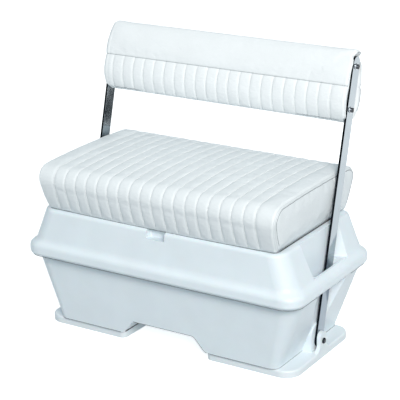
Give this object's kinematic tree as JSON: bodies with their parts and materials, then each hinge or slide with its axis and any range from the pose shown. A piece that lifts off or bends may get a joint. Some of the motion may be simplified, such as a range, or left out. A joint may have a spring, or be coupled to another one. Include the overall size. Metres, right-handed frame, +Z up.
{
  "type": "boat seat box",
  "caption": "Moulded box seat with a storage liner under a hinged channelled cushion, and a padded backrest on flat bars that swings over to face the other way.",
  "frame": {"origin": "on the floor, at the middle of the box", "axes": "+X along the length towards the right-hand end seen from the front, -Y to the front, where the finger notch is, +Y to the back, where the lid's hinge is and the backrest leans, +Z up"},
  "size_m": [0.858, 0.452, 0.7986],
  "materials": {
    "shell": "rotationally moulded polyethylene, smooth with a soft sheen",
    "feet": "moulded polyethylene, same as the shells",
    "liner": "smooth moulded plastic, white",
    "seal": "soft grey sealing strip",
    "seat_vinyl": "marine vinyl over foam, sewn in channels, soft sheen",
    "back_vinyl": "marine vinyl over foam, lower panels sewn in channels",
    "seat_board": "flat plastic sheet, fine grain",
    "back_board": "plywood",
    "arms": "polished stainless flat bar",
    "arm_bolts": "polished stainless",
    "pivots": "polished stainless",
    "screws": "stainless",
    "hinge": "satin stainless",
    "bushings": "natural nylon",
    "inserts": "turned brass"
  },
  "bodies": {
    "box": {"lower_shell": "shell", "upper_shell": "shell", "foot_plate_right": "feet", "foot_plate_left": "feet", "liner_tub": "liner", "opening_gasket": "seal", "flange_screws": "screws", "foot_screws": "screws", "pivot_bolt_right": "pivots", "pivot_bolt_left": "pivots", "pivot_nut_right": "screws", "pivot_nut_left": "screws", "hinge_leaf_shell": "hinge", "hinge_pin": "hinge", "hinge_screws_shell": "screws"},
    "lid": {"seat_cushion": "seat_vinyl", "seat_board": "seat_board", "hinge_leaf_lid": "hinge", "hinge_screws_lid": "screws"},
    "backrest": {"arm_right": "arms", "arm_left": "arms", "pivot_bushing_right": "bushings", "pivot_bushing_left": "bushings", "backrest_pad": "back_vinyl", "backrest_board": "back_board", "backrest_bolts": "arm_bolts", "backrest_washers": "arm_bolts", "backrest_inserts": "inserts"}
  },
  "joints": [
    {"name": "backrest_swing", "type": "hinge", "parent": "box", "child": "backrest", "pos_m": [0, 0, 0.048], "axis": [1, 0, 0], "range_deg": [0, 29.64]},
    {"name": "lid_hinge", "type": "hinge", "parent": "box", "child": "lid", "pos_m": [0, 0.1942, 0.3532], "axis": [-1, 0, 0], "range_deg": [0, 45]}
  ]
}
